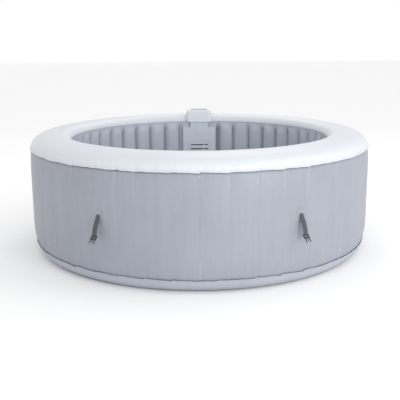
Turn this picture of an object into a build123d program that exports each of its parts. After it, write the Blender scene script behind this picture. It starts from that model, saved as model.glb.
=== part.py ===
"""Round inflatable hot tub with its heater, filter and blower unit built into the rear wall.

Millimetres. Origin: centre of the base, on the ground. +Z up, -Y towards the user at the front,
+Y towards the equipment unit. The air-filled wall is a ring of welded sheet held by radial beams.
"""
import os
from math import cos, radians, sin, sqrt

from build123d import *

# Air ring
wall_radius = 1020.0
ring_width = 242.5
tub_height = 700.0
skin = 2.0
weld_gap = 0.3
top_seam_inset = 8.0
top_seam_drop = 73.0
inner_roll_width = 62.5
inner_roll_drop = 49.0
outer_roll_power = 2.6
bottom_seam_inset = 16.0
bottom_seam_height = 70.0
ground_inset = 97.0
straight_low = 180.0
straight_drop = 220.0
seam_lip = 7.0
beam_count = 43
beam_thickness = 1.0
beam_low = 46.0
beam_drop = 85.0
beam_hole_radius = 30.0
beam_hole_pitch = 180.0
beam_holes = 3
bay_half_angle = 10.2

water_radius = wall_radius - ring_width
crest_radius = water_radius + inner_roll_width
top_seam_radius = wall_radius - top_seam_inset
top_seam_height = tub_height - top_seam_drop
inner_seam_height = tub_height - inner_roll_drop
bottom_seam_radius = wall_radius - bottom_seam_inset
ground_radius = wall_radius - ground_inset
straight_high = tub_height - straight_drop
beam_step = (360.0 - 2 * bay_half_angle) / (beam_count - 1)

# Floor
floor_pad_thickness = 8.0
floor_liner_thickness = 2.0
floor_edge_gap = 1.0
bubble_width = 39.5
bubble_height = 32.0
bubble_wall = 2.0
bubble_count = 60
bubble_hole_radius = 1.5

floor_top = skin + floor_pad_thickness + floor_liner_thickness
floor_radius = water_radius - floor_edge_gap
bubble_mid_radius = floor_radius - bubble_width / 2
bubble_mid_height = floor_top + bubble_height / 2

# Equipment bay in the rear wall
unit_half_width = 119.5
unit_bottom = 124.5
unit_top_drop = 94.5
unit_wall = 3.0
unit_front_set = 3.5
unit_rear_inset = 12.0
pocket_clearance = 0.5
window_lip = 11.5
neck_half_width = 48.0
neck_front_set = 24.5
neck_depth = 36.0
neck_wall = 3.0
neck_clearance = 2.0

unit_top = tub_height - unit_top_drop
unit_front = water_radius + unit_front_set
unit_rear = wall_radius - unit_rear_inset
unit_inside = unit_half_width - unit_wall
pocket_half_width = unit_half_width + pocket_clearance
pocket_bottom = unit_bottom - pocket_clearance
pocket_top = unit_top + pocket_clearance
window_half_width = unit_half_width - window_lip
window_bottom = unit_bottom + window_lip
window_top = unit_top - window_lip
neck_front = water_radius + neck_front_set
neck_rear = neck_front + neck_depth

# Front panel, filter and outlet
panel_half_width = 116.0
panel_set = 20.5
panel_thickness = 4.0
panel_border = 6.5
panel_lip_wall = 3.0
tongue_half_width = 64.0
tongue_thickness = 8.0
tongue_gap = 0.5
filter_height = 385.0
filter_cover_half_width = 75.0
filter_cover_height = 252.0
cover_gap = 0.6
slot_width = 124.0
slot_height = 8.0
slot_pitch = 29.3
slot_count = 8
slot_drop = 26.0
mullion_place = 34.0
mullion_width = 8.0
cartridge_radius = 50.0
cartridge_length = 80.0
cartridge_core_radius = 22.0
cartridge_cap_radius = 54.0
cartridge_cap_thickness = 6.0
cartridge_set = 5.0
cartridge_pleats = 36
pleat_depth = 3.0
cover_hub_radius = 20.0
well_radius = 62.0
well_wall = 3.0
well_depth = 100.0
outlet_place = -80.0
outlet_height = 190.0
outlet_flange_radius = 22.0
outlet_flange_thickness = 4.0
outlet_length = 58.0

panel_front = water_radius - panel_set
panel_back = panel_front + panel_thickness
panel_bottom = unit_bottom - panel_border
panel_top = unit_top + panel_border
panel_inside = window_half_width - panel_thickness / 2
filter_cover_bottom = filter_height - filter_cover_height / 2
cartridge_front = unit_front + cartridge_cap_thickness + cartridge_set
slot_top = filter_height + filter_cover_height / 2 - slot_drop

# Hoses and nipples
nipple_radius = 11.0
nipple_bore = 8.0
nipple_length = 20.0
hose_clearance = 0.3
hose_wall = 2.7
bend_radius = 25.0
hose_grip = 16.0

hose_bore = nipple_radius + hose_clearance
hose_radius = hose_bore + hose_wall

# Pump
pump_set = 69.0
motor_radius = 38.0
motor_height = 87.5
volute_radius = 48.0
volute_height = 43.0
volute_wall = 3.0
discharge_place = 36.0
discharge_reach = 65.0
shaft_radius = 4.0
running_gap = 0.05
impeller_radius = 40.0
impeller_disc = 4.0
blade_root = 1.0
impeller_lift = 6.0
blade_height = 14.0
blade_thickness = 2.5
blade_count = 6
hub_radius = 10.0
shaft_depth = 55.0

pump_y = unit_front + pump_set
floor_inside = unit_bottom + unit_wall
volute_bottom = floor_inside + motor_height
volute_top = volute_bottom + volute_height
discharge_height = volute_bottom + volute_height / 2
discharge_end = pump_y + discharge_reach

# Heater
heater_rear_set = 53.0
heater_radius = 24.0
heater_wall = 3.0
heater_bottom = 290.0
heater_length = 180.0
element_radius = 3.5
element_spread = 14.0
element_clear = 20.0
heater_y = unit_rear - heater_rear_set
heater_top = heater_bottom + heater_length

# Blower
blower_place = 45.0
blower_drop = 67.5
blower_set = 34.0
scroll_radius = 50.0
scroll_depth = 50.0
scroll_wall = 2.5
intake_radius = 22.0
fan_radius = 42.0
fan_inner_radius = 32.0
fan_disc = 3.0
fan_clear = 5.0
fan_blades = 20
fan_blade_thickness = 1.5
fan_blade_inset = 0.5
blower_motor_radius = 30.0
blower_motor_length = 60.0
blower_shaft_radius = 3.0
air_nipple_radius = 10.0
air_nipple_bore = 7.5
air_nipple_drop = 23.0
air_tangent_inset = 4.0
air_drop_gap = 15.0
air_bend_radius = 35.0
air_hose_wall = 2.5
foot_size = 20.0

blower_height = unit_top - blower_drop
blower_y = unit_front + blower_set
air_place = blower_place + fan_radius - air_tangent_inset
air_hose_bore = air_nipple_radius + hose_clearance
air_hose_radius = air_hose_bore + air_hose_wall
air_drop_y = blower_y + scroll_depth / 2 + air_drop_gap
air_nipple_end = blower_height - scroll_radius - air_nipple_drop

# Rear cover, board, screws and cable gland
cover_thickness = 3.0
cover_margin = 0.5
louvre_count = 7
louvre_width = 90.0
louvre_height = 5.0
louvre_pitch = 12.0
louvre_low = 470.0
screw_place = 110.0
screw_inset = 15.0
screw_radius = 2.0
screw_head_radius = 4.0
screw_length = 14.0
boss_radius = 7.0
boss_length = 20.0
board_width = 110.0
board_height = 170.0
board_thickness = 1.6
board_place = -40.0
board_middle = 385.0
board_standoff = 6.4
board_post_radius = 3.5
board_post_inset = 6.0
relay_count = 4
relay_size = (18.0, 15.0)
relay_pitch = 24.0
relay_rise = 25.0
transformer_size = (44.0, 38.0)
transformer_spot = (-22.0, 80.0)
capacitor_radius = 7.0
capacitor_pitch = (18.0, 22.0)
capacitor_spot = (25.0, 80.0)
terminal_size = (30.0, 14.0)
terminal_rise = 135.0
component_height = 16.0
gland_place = 80.0
gland_height = 170.0
gland_radius = 10.0
gland_bore = 4.5
gland_flange_radius = 13.0
gland_flange = 3.0
gland_inner = 6.0

cover_outer = unit_rear + cover_thickness
board_back = unit_rear - board_standoff

# Control pod on the rim
pod_half_width = 95.0
pod_top_half_width = 78.0
pod_low_half_width = 80.0
pod_inside_half_width = 74.5
pod_overhang = 25.0
pod_depth = 116.0
pod_rise = 37.0
pod_drop = 48.0
pod_split = 3.0
pod_seat_gap = 0.4
pod_corner = 26.0
pod_round = 5.0
pod_wall = 3.0
pod_inset = 7.0
overlay_width = 124.0
overlay_depth = 84.0
overlay_thickness = 1.5
overlay_gap = 0.2
deck_thickness = 2.5
key_count = 5
key_pitch = 22.0
key_radius = 7.0
key_gap = 0.4
key_proud = 0.8
key_travel = 1.0
key_flange_radius = 9.0
key_flange = 1.6
key_row = -20.0
screen_row = 16.0
screen_width = 60.0
screen_depth = 26.0
board_drop = 13.0
board_margin = 10.0
display_post_gap = 4.0
display_post_inset = 8.0
switch_size = 6.0

pod_top_height = tub_height + pod_rise
pod_bottom = tub_height - pod_drop
pod_front = water_radius - pod_overhang
pod_middle = pod_front + pod_depth / 2
split_height = tub_height + pod_split
deck_top = pod_top_height - overlay_thickness
deck_bottom = deck_top - deck_thickness
display_board_top = deck_bottom - board_drop + board_thickness
key_flange_top = deck_bottom - weld_gap
key_bottom = display_board_top + switch_size / 2 + key_travel + weld_gap

# Lid straps
strap_angles = (30.0, 150.0, 210.0, 330.0)
strap_height = 385.0
strap_width = 25.0
strap_thickness = 1.6
strap_length = 110.0
strap_tilt = 20.0
buckle_tilt = 45.0
patch_size = 60.0
patch_corner = 12.0
patch_thickness = 1.5
strap_gap = 0.4
buckle_width = 33.0
buckle_length = 24.0
buckle_thickness = 8.0
buckle_corner = 4.0
prong_length = 26.0
prong_width = 6.0
prong_spread = 11.0
prong_round = 2.9
guide_length = 18.0
socket_depth = 10.0

strap_radius = wall_radius + weld_gap + patch_thickness + strap_gap + strap_thickness / 2

# Air valve and drain in the outer wall
port_angle = bay_half_angle + 1.5 * beam_step
valve_height = 240.0
valve_radius = 18.0
valve_bore = 14.0
valve_depth = 35.0
valve_reach = 14.0
valve_flange_radius = 30.0
valve_flange = 2.5
seat_thickness = 4.0
seat_opening = 10.0
spoke_width = 3.0
guide_radius = 6.0
spoke_count = 3
stem_radius = 3.0
poppet_radius = 12.0
poppet_thickness = 3.0
poppet_head_radius = 6.0
cap_gap = 0.3
cap_wall = 3.0
cap_top = 3.0
cap_clear = 2.0
drain_height = 98.0
drain_radius = 13.0
drain_bore = 10.0
drain_flange_radius = 24.0
drain_flange = 4.0
drain_reach = 28.0
drain_cap_gap = 0.9
stopper_head_radius = 17.0
stopper_head = 6.0
stopper_length = 22.0
stopper_gap = 0.3


def save(piece, name):
    piece.part.label = name
    export_step(piece.part, f"parts/{name}.step")


def block(low, high, mode=Mode.ADD):
    size = [top - bottom for bottom, top in zip(low, high)]
    centre = [(top + bottom) / 2 for bottom, top in zip(low, high)]
    with Locations(tuple(centre)):
        Box(*size, mode=mode)


def bar(plane, spots, radius, length, mode=Mode.ADD):
    with BuildSketch(plane) as ends:
        with Locations(*spots):
            Circle(radius)
    extrude(ends.sketch, amount=length, mode=mode)


def upright(y):
    """Plane across the unit at y: local x is +X, local y is +Z; a negative extrusion goes rearwards."""
    return Plane.XZ.offset(-y)


def wall_station(angle, radius, height, tilt=0.0):
    """Plane on the wall: local x runs round it, local y is up, local z points outwards.

    A tilt swings the foot of local y away from the wall.
    """
    outward = (sin(radians(angle)), -cos(radians(angle)))
    along = (cos(radians(angle)), sin(radians(angle)), 0)
    facing = (outward[0] * cos(radians(tilt)), outward[1] * cos(radians(tilt)), sin(radians(tilt)))
    return Plane(origin=(radius * outward[0], radius * outward[1], height), x_dir=along, z_dir=facing)


def outer_roll(angle, inset):
    """Point of the rim's outer roll, a superellipse quarter from the crest to the top seam."""
    reach = top_seam_radius - crest_radius - inset
    return (crest_radius + reach * sin(radians(angle)) ** (2 / outer_roll_power),
            top_seam_height + (top_seam_drop - inset) * cos(radians(angle)) ** (2 / outer_roll_power))


def ring_face(inset=0.0):
    """Filled cross-section of the air ring, drawn inside its true outline by an inset."""
    with BuildLine() as outline:
        foot = Line((water_radius + inset, inset), (ground_radius, inset))
        heel = TangentArc(foot @ 1, (bottom_seam_radius - inset, bottom_seam_height), tangent=(1, 0))
        side = Line((wall_radius - inset, straight_low), (wall_radius - inset, straight_high))
        TangentArc(side @ 0, heel @ 1, tangent=(0, -1))
        shoulder = TangentArc(side @ 1, (top_seam_radius - inset, top_seam_height), tangent=(0, 1))
        Spline((crest_radius, tub_height - inset), *[outer_roll(angle, inset) for angle in (25, 50, 72)],
               shoulder @ 1, tangents=[(1, 0), (0, -1)])
        EllipticalCenterArc((crest_radius, inner_seam_height), inner_roll_width - inset,
                            inner_roll_drop - inset, start_angle=90, arc_size=90)
        Line((water_radius + inset, inner_seam_height), foot @ 0)
    make_face(outline.edges())


def ring_body(inset, mode):
    with BuildSketch(Plane.XZ) as section:
        ring_face(inset)
    revolve(section.sketch, axis=Axis.Z, mode=mode)


def skin_strip(low, high):
    """The ring's sheet, kept between two corners of its cross-section, turned full circle."""
    with BuildSketch(Plane.XZ) as strip:
        ring_face()
        with BuildSketch(Plane.XZ, mode=Mode.SUBTRACT):
            ring_face(skin)
        with Locations(((low[0] + high[0]) / 2, (low[1] + high[1]) / 2)):
            Rectangle(high[0] - low[0], high[1] - low[1], mode=Mode.INTERSECT)
    revolve(strip.sketch, axis=Axis.Z)


def turned(low, high, mode=Mode.ADD):
    """A ring or disc of rectangular section, from its low and high corners in radius and height."""
    with BuildSketch(Plane.XZ) as section:
        with Locations(((low[0] + high[0]) / 2, (low[1] + high[1]) / 2)):
            Rectangle(high[0] - low[0], high[1] - low[1])
    revolve(section.sketch, axis=Axis.Z, mode=mode)


def hose(points, radius, bore, bend):
    with BuildLine() as route:
        if len(points) > 2:
            FilletPolyline(*points, radius=bend)
        else:
            Line(*points)
    start = Plane(origin=route.line @ 0, z_dir=route.line % 0)
    with BuildSketch(start) as ring:
        Circle(radius)
        Circle(bore, mode=Mode.SUBTRACT)
    sweep(ring.sketch, path=route.line)


os.makedirs("parts", exist_ok=True)
valve_angle = 180.0 - port_angle
drain_angle = 180.0 + port_angle
far = 2 * wall_radius

# Outer wall, from the bottom seam to the top seam, open at the rear for the unit
with BuildPart() as outer_wall:
    skin_strip((crest_radius, bottom_seam_height), (far, top_seam_height))
    block((-pocket_half_width, crest_radius, pocket_bottom), (pocket_half_width, far, pocket_top),
          mode=Mode.SUBTRACT)
    bar(wall_station(valve_angle, crest_radius, valve_height), [(0, 0)], valve_radius + weld_gap, far,
        mode=Mode.SUBTRACT)
    bar(wall_station(drain_angle, crest_radius, drain_height), [(0, 0)], drain_radius + weld_gap, far,
        mode=Mode.SUBTRACT)
save(outer_wall, "outer_wall")

# Rim, rolling from the inner seam over the crest to the top seam, with the welded lip
with BuildPart() as top_rim:
    skin_strip((0, inner_seam_height), (crest_radius, 2 * tub_height))
    skin_strip((crest_radius, top_seam_height), (far, 2 * tub_height))
    turned((top_seam_radius - skin / 2, top_seam_height),
           (top_seam_radius + seam_lip, top_seam_height + skin))
    block((-neck_half_width - neck_clearance, neck_front - neck_clearance, pocket_top),
          (neck_half_width + neck_clearance, neck_rear + neck_clearance, 2 * tub_height), mode=Mode.SUBTRACT)
save(top_rim, "top_rim")

# Inner wall, open at the rear for the unit's front panel
with BuildPart() as inner_wall:
    skin_strip((0, skin), (crest_radius - inner_roll_width / 2, inner_seam_height))
    block((-window_half_width, 0, window_bottom), (window_half_width, crest_radius, window_top),
          mode=Mode.SUBTRACT)
    bar(wall_station(drain_angle, 0, drain_height), [(0, 0)], drain_radius + weld_gap, crest_radius,
        mode=Mode.SUBTRACT)
    bar(upright(0), [(air_place, bubble_mid_height)], air_hose_radius + weld_gap, -crest_radius,
        mode=Mode.SUBTRACT)
save(inner_wall, "inner_wall")

# Base sheet under the ring and the floor, and the band that curls up to the bottom seam
with BuildPart() as base_skin:
    turned((0, 0), (ground_radius, skin))
save(base_skin, "base_skin")

with BuildPart() as base_band:
    skin_strip((ground_radius, -skin), (far, bottom_seam_height))
    turned((bottom_seam_radius - skin / 2, bottom_seam_height - skin),
           (bottom_seam_radius + seam_lip, bottom_seam_height))
save(base_band, "base_band")

# Sleeve through the ring for the unit, with a chimney up to the rim for the pod's neck
with BuildPart() as unit_pocket:
    block((-pocket_half_width - skin, 0, pocket_bottom - skin),
          (pocket_half_width + skin, far, pocket_top + skin))
    block((-neck_half_width - neck_clearance - skin, neck_front - neck_clearance - skin, pocket_top),
          (neck_half_width + neck_clearance + skin, neck_rear + neck_clearance + skin, tub_height))
    ring_body(skin + weld_gap, Mode.INTERSECT)
    block((-pocket_half_width, 0, pocket_bottom), (pocket_half_width, far, pocket_top), mode=Mode.SUBTRACT)
    block((-neck_half_width - neck_clearance, neck_front - neck_clearance, pocket_bottom + skin),
          (neck_half_width + neck_clearance, neck_rear + neck_clearance, 2 * tub_height), mode=Mode.SUBTRACT)
    bar(Plane.XY, [(air_place, air_drop_y)], air_hose_radius + weld_gap, pocket_top - skin,
        mode=Mode.SUBTRACT)
save(unit_pocket, "unit_pocket")

# Radial beams that hold the inner and outer walls together, with holes for the air
with BuildPart() as beam:
    with BuildSketch(Plane.XZ):
        ring_face(skin + weld_gap)
        with Locations((wall_radius, (beam_low + tub_height - beam_drop) / 2)):
            Rectangle(far, tub_height - beam_drop - beam_low, mode=Mode.INTERSECT)
        with Locations(((water_radius + wall_radius) / 2, tub_height / 2)):
            with GridLocations(1, beam_hole_pitch, 1, beam_holes):
                Circle(beam_hole_radius, mode=Mode.SUBTRACT)
    extrude(amount=beam_thickness / 2, both=True)
with BuildPart() as baffles:
    with PolarLocations(0, beam_count, start_angle=90 + bay_half_angle,
                        angular_range=360 - 2 * bay_half_angle, endpoint=True):
        add(beam.part)
save(baffles, "baffles")

# Floor: insulating pad, liner sheet and the ring channel that lets the bubbles out
with BuildPart() as floor_pad:
    turned((0, skin), (floor_radius, skin + floor_pad_thickness))
save(floor_pad, "floor_pad")

with BuildPart() as floor_liner:
    turned((0, skin + floor_pad_thickness), (floor_radius, floor_top))
save(floor_liner, "floor_liner")

with BuildPart() as bubble_ring:
    turned((floor_radius - bubble_width, floor_top), (floor_radius, floor_top + bubble_height))
    turned((floor_radius - bubble_width + bubble_wall, floor_top + bubble_wall),
           (floor_radius - bubble_wall, floor_top + bubble_height - bubble_wall), mode=Mode.SUBTRACT)
    with BuildSketch(Plane.XY.offset(floor_top + bubble_height)):
        with PolarLocations(bubble_mid_radius, bubble_count):
            Circle(bubble_hole_radius)
    extrude(amount=-bubble_height / 2, mode=Mode.SUBTRACT)
    bar(upright(bubble_mid_radius), [(air_place, bubble_mid_height)], air_nipple_bore, -bubble_width,
        mode=Mode.SUBTRACT)
save(bubble_ring, "bubble_ring")

# Patches that hold the four lid straps
with BuildPart() as strap_patches:
    for angle in strap_angles:
        place = wall_station(angle, wall_radius + weld_gap, strap_height)
        with BuildSketch(place):
            RectangleRounded(patch_size, patch_size, patch_corner)
        extrude(amount=patch_thickness)
save(strap_patches, "strap_patches")

# Lid straps, each a webbing tail with the prong half of a side-release buckle
tail_radius = strap_radius + strap_length * sin(radians(strap_tilt))
tail_height = strap_height - strap_length * cos(radians(strap_tilt))
buckle_top = socket_depth * cos(radians(buckle_tilt - strap_tilt)) / 2
for index, angle in enumerate(strap_angles):
    hang = wall_station(angle, strap_radius, strap_height, strap_tilt)
    with BuildPart() as strap_webbing:
        with BuildSketch(hang.offset(-strap_thickness / 2)):
            with Locations((0, -strap_length / 2)):
                Rectangle(strap_width, strap_length)
        extrude(amount=strap_thickness)
    save(strap_webbing, f"strap_webbing_{index + 1}")
    clip = wall_station(angle, tail_radius, tail_height, buckle_tilt)
    with BuildPart() as strap_buckle:
        with BuildSketch(clip.offset(-buckle_thickness / 2)):
            with Locations((0, buckle_top - buckle_length / 2)):
                RectangleRounded(buckle_width, buckle_length, buckle_corner)
            prong_middle = buckle_top - buckle_length - prong_length / 2 + buckle_corner
            with Locations((-prong_spread, prong_middle), (prong_spread, prong_middle)):
                RectangleRounded(prong_width, prong_length + buckle_corner, prong_round)
            with Locations((0, buckle_top - buckle_length - guide_length / 2)):
                Rectangle(prong_width, guide_length + buckle_corner)
        extrude(amount=buckle_thickness)
        with BuildSketch(hang.offset(-strap_thickness / 2 - strap_gap)):
            with Locations((0, -strap_length - strap_gap + socket_depth)):
                Rectangle(strap_width + 2 * strap_gap, 2 * socket_depth)
        extrude(amount=strap_thickness + 2 * strap_gap, mode=Mode.SUBTRACT)
    save(strap_buckle, f"strap_buckle_{index + 1}")

# Air valve: body with a spoked seat, poppet pushed open by the hose, and screw cap
valve_in = wall_station(valve_angle, wall_radius - valve_depth, valve_height)
valve_out = wall_station(valve_angle, wall_radius + weld_gap, valve_height)
with BuildPart() as air_valve_body:
    bar(valve_in, [(0, 0)], valve_radius, valve_depth + valve_reach)
    bar(valve_out, [(0, 0)], valve_flange_radius, valve_flange)
    bar(valve_in.offset(seat_thickness), [(0, 0)], valve_bore, valve_depth + valve_reach, mode=Mode.SUBTRACT)
    bar(valve_in, [(0, 0)], seat_opening, seat_thickness, mode=Mode.SUBTRACT)
    bar(valve_in, [(0, 0)], guide_radius, seat_thickness)
    with BuildSketch(valve_in):
        with PolarLocations(0, spoke_count):
            Rectangle(2 * valve_bore, spoke_width)
    extrude(amount=seat_thickness)
    bar(valve_in, [(0, 0)], stem_radius + running_gap, seat_thickness, mode=Mode.SUBTRACT)
save(air_valve_body, "air_valve_body")

stem_top = valve_depth + valve_reach - cap_clear
with BuildPart() as air_valve_poppet:
    bar(valve_in.offset(-weld_gap - poppet_thickness), [(0, 0)], poppet_radius, poppet_thickness)
    bar(valve_in.offset(-weld_gap), [(0, 0)], stem_radius, stem_top)
    bar(valve_in.offset(stem_top - poppet_thickness), [(0, 0)], poppet_head_radius,
        poppet_thickness - weld_gap)
save(air_valve_poppet, "air_valve_poppet")

cap_foot = valve_out.offset(valve_flange + weld_gap)
cap_height = valve_reach - valve_flange + cap_top + weld_gap
with BuildPart() as air_valve_cap:
    bar(cap_foot, [(0, 0)], valve_radius + cap_gap + cap_wall, cap_height)
    bar(cap_foot, [(0, 0)], valve_radius + cap_gap, cap_height - cap_top, mode=Mode.SUBTRACT)
save(air_valve_cap, "air_valve_cap")

# Drain: pipe through the ring with a collar inside and outside, stopper and screw cap
drain_in = wall_station(drain_angle, floor_radius - drain_flange, drain_height)
drain_end = wall_radius + drain_reach
with BuildPart() as drain_fitting:
    bar(wall_station(drain_angle, wall_radius - bottom_seam_inset, drain_height), [(0, 0)],
        drain_flange_radius, bottom_seam_inset + drain_flange)
    ring_body(-weld_gap, Mode.SUBTRACT)
    bar(drain_in, [(0, 0)], drain_flange_radius, drain_flange)
    bar(drain_in, [(0, 0)], drain_radius, drain_end - floor_radius + drain_flange)
    bar(drain_in, [(0, 0)], drain_bore, far, mode=Mode.SUBTRACT)
save(drain_fitting, "drain_fitting")

with BuildPart() as drain_stopper:
    bar(drain_in.offset(-weld_gap), [(0, 0)], stopper_head_radius, -stopper_head)
    bar(drain_in.offset(-weld_gap), [(0, 0)], drain_bore - stopper_gap, stopper_length)
save(drain_stopper, "drain_stopper")

drain_cap_foot = wall_station(drain_angle, wall_radius + drain_flange + weld_gap, drain_height)
drain_cap_height = drain_reach - drain_flange + cap_top
with BuildPart() as drain_cap:
    bar(drain_cap_foot, [(0, 0)], drain_radius + drain_cap_gap + cap_wall, drain_cap_height)
    bar(drain_cap_foot, [(0, 0)], drain_radius + drain_cap_gap, drain_cap_height - cap_top,
        mode=Mode.SUBTRACT)
save(drain_cap, "drain_cap")

# Unit housing: a box open at the rear, with screw bosses and holes for the pipes
screw_spots = [(side * screw_place, height) for side in (-1, 1)
               for height in (unit_bottom + screw_inset, (unit_bottom + unit_top) / 2,
                              unit_top - screw_inset)]
with BuildPart() as unit_housing:
    block((-unit_half_width, unit_front, unit_bottom), (unit_half_width, unit_rear, unit_top))
    block((-unit_inside, unit_front + unit_wall, floor_inside),
          (unit_inside, far, unit_top - unit_wall), mode=Mode.SUBTRACT)
    bar(upright(unit_rear), screw_spots, boss_radius, boss_length)
    bar(upright(unit_rear), screw_spots, screw_radius + running_gap, boss_length, mode=Mode.SUBTRACT)
    block((-unit_half_width - boss_radius, unit_front, unit_bottom), (-unit_half_width, far, unit_top),
          mode=Mode.SUBTRACT)
    block((unit_half_width, unit_front, unit_bottom), (unit_half_width + boss_radius, far, unit_top),
          mode=Mode.SUBTRACT)
    bar(upright(unit_front), [(0, filter_height)], well_radius, -unit_wall, mode=Mode.SUBTRACT)
    bar(upright(unit_front), [(outlet_place, outlet_height)], nipple_radius + hose_clearance, -unit_wall,
        mode=Mode.SUBTRACT)
    bar(Plane.XY.offset(unit_bottom), [(air_place, air_drop_y)], air_hose_radius + weld_gap, unit_wall,
        mode=Mode.SUBTRACT)
    block((-neck_half_width + neck_wall, neck_front + neck_wall, unit_top - unit_wall),
          (neck_half_width - neck_wall, neck_rear - neck_wall, unit_top), mode=Mode.SUBTRACT)
save(unit_housing, "unit_housing")

# Rear cover with air louvres and posts for the circuit board
post_spots = [(board_place + side * (board_width / 2 - board_post_inset),
               board_middle + end * (board_height / 2 - board_post_inset))
              for side in (-1, 1) for end in (-1, 1)]
with BuildPart() as rear_cover:
    block((-unit_half_width + cover_margin, unit_rear, unit_bottom + cover_margin),
          (unit_half_width - cover_margin, cover_outer, unit_top - cover_margin))
    bar(upright(unit_rear), post_spots, board_post_radius, board_standoff)
    bar(upright(cover_outer), screw_spots, screw_radius + hose_clearance, cover_thickness,
        mode=Mode.SUBTRACT)
    bar(upright(cover_outer), [(gland_place, gland_height)], gland_radius + hose_clearance, cover_thickness,
        mode=Mode.SUBTRACT)
    with BuildSketch(upright(cover_outer)):
        with Locations((0, louvre_low + louvre_pitch * (louvre_count - 1) / 2)):
            with GridLocations(1, louvre_pitch, 1, louvre_count):
                SlotOverall(louvre_width, louvre_height)
    extrude(amount=cover_thickness, mode=Mode.SUBTRACT)
save(rear_cover, "rear_cover")

with BuildPart() as rear_screws:
    bar(upright(cover_outer), screw_spots, screw_radius, screw_length)
    bar(upright(cover_outer), screw_spots, screw_head_radius, -screw_head_radius / 2)
save(rear_screws, "rear_screws")

# Front panel: a proud plate with a lip to the wall, a skirt through the window and a tongue up to the pod
with BuildPart() as front_panel:
    block((-panel_half_width, panel_front, panel_bottom), (panel_half_width, unit_front, panel_top))
    block((-panel_half_width + panel_lip_wall, panel_back, panel_bottom + panel_lip_wall),
          (panel_half_width - panel_lip_wall, unit_front, panel_top - panel_lip_wall), mode=Mode.SUBTRACT)
    block((-tongue_half_width, panel_front + skin, panel_top), (tongue_half_width,
          panel_front + skin + tongue_thickness, pod_bottom - tongue_gap))
    turned((0, 0), (water_radius - weld_gap, 2 * tub_height), mode=Mode.INTERSECT)
    block((-panel_inside, panel_back, window_bottom + skin), (panel_inside, unit_front, window_top - skin))
    block((-panel_inside + panel_lip_wall, panel_back, window_bottom + skin + panel_lip_wall),
          (panel_inside - panel_lip_wall, unit_front, window_top - skin - panel_lip_wall),
          mode=Mode.SUBTRACT)
    block((-filter_cover_half_width - cover_gap, panel_front, filter_cover_bottom - cover_gap),
          (filter_cover_half_width + cover_gap, panel_back,
           filter_cover_bottom + filter_cover_height + cover_gap), mode=Mode.SUBTRACT)
    bar(upright(panel_front), [(outlet_place, outlet_height)], nipple_radius + hose_clearance,
        -panel_thickness, mode=Mode.SUBTRACT)
save(front_panel, "front_panel")

# Filter: slotted cover, pleated cartridge with end caps, and the well it slides into
slot_left = slot_width / 2 + mullion_place - mullion_width / 2
slot_right = slot_width / 2 - mullion_place - mullion_width / 2
slot_middle = slot_top - slot_pitch * (slot_count - 1) / 2
with BuildPart() as filter_cover:
    block((-filter_cover_half_width, panel_front, filter_cover_bottom),
          (filter_cover_half_width, panel_back, filter_cover_bottom + filter_cover_height))
    with BuildSketch(upright(panel_front)):
        with Locations((-slot_width / 2 + slot_left / 2, slot_middle)):
            with GridLocations(1, slot_pitch, 1, slot_count):
                Rectangle(slot_left, slot_height)
        with Locations((slot_width / 2 - slot_right / 2, slot_middle)):
            with GridLocations(1, slot_pitch, 1, slot_count):
                Rectangle(slot_right, slot_height)
    extrude(amount=-panel_thickness, mode=Mode.SUBTRACT)
    bar(upright(panel_back), [(0, filter_height)], cover_hub_radius, panel_back - cartridge_front
        + cartridge_cap_thickness)
save(filter_cover, "filter_cover")

with BuildPart() as filter_cartridge:
    with BuildSketch(upright(cartridge_front)):
        with Locations((0, filter_height)):
            Circle(cartridge_radius)
            Circle(cartridge_core_radius, mode=Mode.SUBTRACT)
            with PolarLocations(cartridge_radius, cartridge_pleats):
                Rectangle(2 * pleat_depth, pleat_depth, mode=Mode.SUBTRACT)
    extrude(amount=-cartridge_length)
save(filter_cartridge, "filter_cartridge")

with BuildPart() as filter_end_caps:
    bar(upright(cartridge_front), [(0, filter_height)], cartridge_cap_radius, cartridge_cap_thickness)
    bar(upright(cartridge_front + cartridge_length), [(0, filter_height)], cartridge_cap_radius,
        -cartridge_cap_thickness)
    bar(upright(cartridge_front + cartridge_length), [(0, filter_height)], cartridge_core_radius,
        -cartridge_cap_thickness, mode=Mode.SUBTRACT)
save(filter_end_caps, "filter_end_caps")

well_front = unit_front + unit_wall
with BuildPart() as filter_well:
    bar(upright(well_front), [(0, filter_height)], well_radius + well_wall, -well_depth)
    bar(Plane.XY.offset(filter_height), [(0, pump_y)], nipple_radius,
        -well_radius - well_wall - nipple_length)
    bar(upright(well_front), [(0, filter_height)], well_radius, -well_depth + well_wall, mode=Mode.SUBTRACT)
    bar(Plane.XY.offset(filter_height), [(0, pump_y)], nipple_bore, -well_radius - well_wall - nipple_length,
        mode=Mode.SUBTRACT)
save(filter_well, "filter_well")

with BuildPart() as outlet_nozzle:
    bar(upright(panel_front), [(outlet_place, outlet_height)], outlet_flange_radius, outlet_flange_thickness)
    bar(upright(panel_front), [(outlet_place, outlet_height)], nipple_radius, -outlet_length)
    bar(upright(panel_front - outlet_flange_thickness), [(outlet_place, outlet_height)], nipple_bore, -far,
        mode=Mode.SUBTRACT)
save(outlet_nozzle, "outlet_nozzle")

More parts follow.
